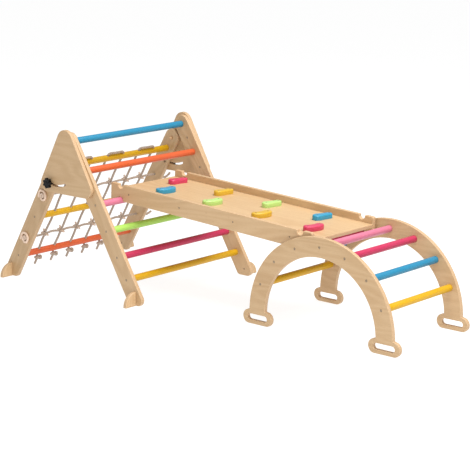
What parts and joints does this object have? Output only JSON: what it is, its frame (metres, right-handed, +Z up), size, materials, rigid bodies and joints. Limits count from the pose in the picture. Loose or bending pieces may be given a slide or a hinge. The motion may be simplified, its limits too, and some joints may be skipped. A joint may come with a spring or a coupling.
{
  "type": "toddler climbing gym",
  "caption": "Wooden climbing set: folding triangle with rung ladder and rope net, reversible ramp with climbing holds hooked over rungs, and a rung arch with hand-slot feet.",
  "frame": {"origin": "on the floor, under the middle of the set's box", "axes": "+X from the triangle towards the arch, +Y from the front side to the rear, +Z up"},
  "size_m": [2.1517, 0.852, 0.7205],
  "materials": {
    "plywood": "clear satin lacquer",
    "blue_paint": "satin blue paint",
    "orange_paint": "satin orange paint",
    "pink_paint": "satin pink paint",
    "green_paint": "satin green paint",
    "raspberry_paint": "satin raspberry paint",
    "yellow_paint": "satin yellow paint",
    "red_hold": "semi-gloss moulded",
    "blue_hold": "semi-gloss moulded",
    "yellow_hold": "semi-gloss moulded",
    "green_hold": "semi-gloss moulded",
    "rope": "twisted fibre",
    "steel": "zinc plated",
    "black_plastic": "moulded"
  },
  "bodies": {
    "ladder_frame": {"ladder_leg_front": "plywood", "ladder_leg_rear": "plywood", "head_plate_front": "plywood", "head_plate_rear": "plywood", "ladder_rung_1": "blue_paint", "ladder_rung_2": "orange_paint", "ladder_rung_3": "pink_paint", "ladder_rung_4": "green_paint", "ladder_rung_5": "raspberry_paint", "ladder_rung_6": "yellow_paint", "ladder_foot_front": "plywood", "ladder_foot_rear": "plywood", "ladder_rung_bolts": "steel", "head_plate_bolts": "steel", "pivot_bolts": "steel", "ladder_foot_screws": "steel"},
    "rope_frame": {"rope_leg_front": "plywood", "rope_leg_rear": "plywood", "rope_rung_top": "yellow_paint", "rope_rung_middle": "yellow_paint", "rope_rung_bottom": "orange_paint", "rope_foot_front": "plywood", "rope_foot_rear": "plywood", "net_rope_1": "rope", "net_rope_2": "rope", "net_rope_3": "rope", "cross_rope_upper": "rope", "cross_rope_lower": "rope", "rope_rung_bolts": "steel", "rope_foot_screws": "steel", "clamp_inserts": "steel"},
    "knob_front": {"clamp_knob_front": "black_plastic"},
    "knob_rear": {"clamp_knob_rear": "black_plastic"},
    "ramp": {"ramp_board": "plywood", "ramp_rail_front": "plywood", "ramp_rail_rear": "plywood", "hold_1": "red_hold", "hold_2": "blue_hold", "hold_3": "yellow_hold", "hold_4": "green_hold", "hold_5": "green_hold", "hold_6": "yellow_hold", "hold_7": "blue_hold", "hold_8": "red_hold", "hold_screws": "steel", "ramp_rail_screws": "steel"},
    "arch": {"arch_panel_front": "plywood", "arch_panel_rear": "plywood", "arch_rung_1": "yellow_paint", "arch_rung_2": "blue_paint", "arch_rung_3": "raspberry_paint", "arch_rung_4": "pink_paint", "arch_rung_5": "raspberry_paint", "arch_rung_6": "blue_paint", "arch_rung_7": "yellow_paint", "arch_rung_bolts": "steel"}
  },
  "joints": [
    {"name": "fold", "type": "hinge", "parent": "ladder_frame", "child": "rope_frame", "pos_m": [-0.68564, 0, 0.59524], "axis": [0, -1, 0], "range_deg": [0, 45]},
    {"name": "front_knob_turn", "type": "hinge", "parent": "rope_frame", "child": "knob_front", "pos_m": [-0.73193, -0.4, 0.4759], "axis": [0, -1, 0], "range_deg": [0, 720]},
    {"name": "rear_knob_turn", "type": "hinge", "parent": "rope_frame", "child": "knob_rear", "pos_m": [-0.73193, 0.4, 0.4759], "axis": [0, 1, 0], "range_deg": [0, 720]},
    {"name": "ramp_lift", "type": "hinge", "parent": "ladder_frame", "child": "ramp", "pos_m": [-0.46293, 0, 0.40703], "axis": [0, -1, 0], "range_deg": [0, 60]},
    {"name": "arch_shift", "type": "slide", "parent": "ladder_frame", "child": "arch", "axis": [0, 1, 0], "range_m": [-0.0115, 0.0115]}
  ]
}
